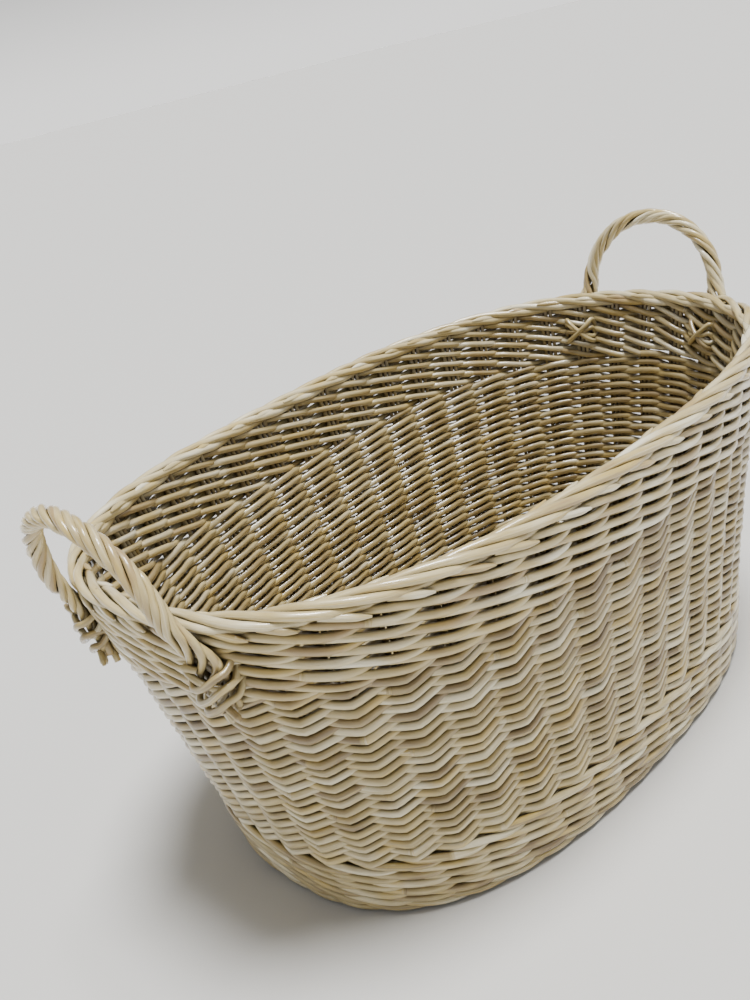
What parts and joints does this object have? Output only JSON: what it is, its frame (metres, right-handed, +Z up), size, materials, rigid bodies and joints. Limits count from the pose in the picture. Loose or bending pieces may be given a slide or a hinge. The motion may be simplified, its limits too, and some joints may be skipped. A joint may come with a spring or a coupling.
{
  "type": "laundry basket",
  "caption": "Oval woven willow laundry basket with flared walls, waled foot and rim bands, a rolled border and two rope handles.",
  "frame": {"origin": "on the floor under the middle of the basket", "axes": "+X along the basket's long axis towards one handle, +Z up out of the mouth"},
  "size_m": [0.693, 0.4184, 0.3707],
  "materials": {
    "willow_stake": "natural willow rods, satin",
    "willow_base": "woven willow, satin",
    "willow_foot": "waled willow, thin clear lacquer",
    "willow_siding": "woven willow, thin clear lacquer",
    "willow_wale": "waled willow, thin clear lacquer",
    "willow_border": "rolled willow border, thin clear lacquer",
    "willow_handle": "twisted willow rods, thin clear lacquer",
    "willow_tie": "thin willow lashing, satin"
  },
  "bodies": {
    "root": {"stake_01": "willow_stake", "stake_02": "willow_stake", "stake_03": "willow_stake", "stake_04": "willow_stake", "stake_05": "willow_stake", "stake_06": "willow_stake", "stake_07": "willow_stake", "stake_08": "willow_stake", "stake_09": "willow_stake", "stake_10": "willow_stake", "stake_11": "willow_stake", "stake_12": "willow_stake", "stake_13": "willow_stake", "stake_14": "willow_stake", "stake_15": "willow_stake", "stake_16": "willow_stake", "stake_17": "willow_stake", "stake_18": "willow_stake", "stake_19": "willow_stake", "stake_20": "willow_stake", "stake_21": "willow_stake", "stake_22": "willow_stake", "stake_23": "willow_stake", "stake_24": "willow_stake", "stake_25": "willow_stake", "stake_26": "willow_stake", "stake_27": "willow_stake", "stake_28": "willow_stake", "stake_29": "willow_stake", "stake_30": "willow_stake", "stake_31": "willow_stake", "stake_32": "willow_stake", "stake_33": "willow_stake", "stake_34": "willow_stake", "stake_35": "willow_stake", "stake_36": "willow_stake", "stake_37": "willow_stake", "stake_38": "willow_stake", "stake_39": "willow_stake", "stake_40": "willow_stake", "stake_41": "willow_stake", "stake_42": "willow_stake", "stake_43": "willow_stake", "stake_44": "willow_stake", "base_weave": "willow_base", "base_sticks": "willow_stake", "foot_wale": "willow_foot", "siding_weave": "willow_siding", "top_wale": "willow_wale", "rim_border": "willow_border", "handle_right": "willow_handle", "handle_left": "willow_handle", "handle_tie_1": "willow_tie", "handle_tie_2": "willow_tie", "handle_tie_3": "willow_tie", "handle_tie_4": "willow_tie"}
  },
  "joints": []
}
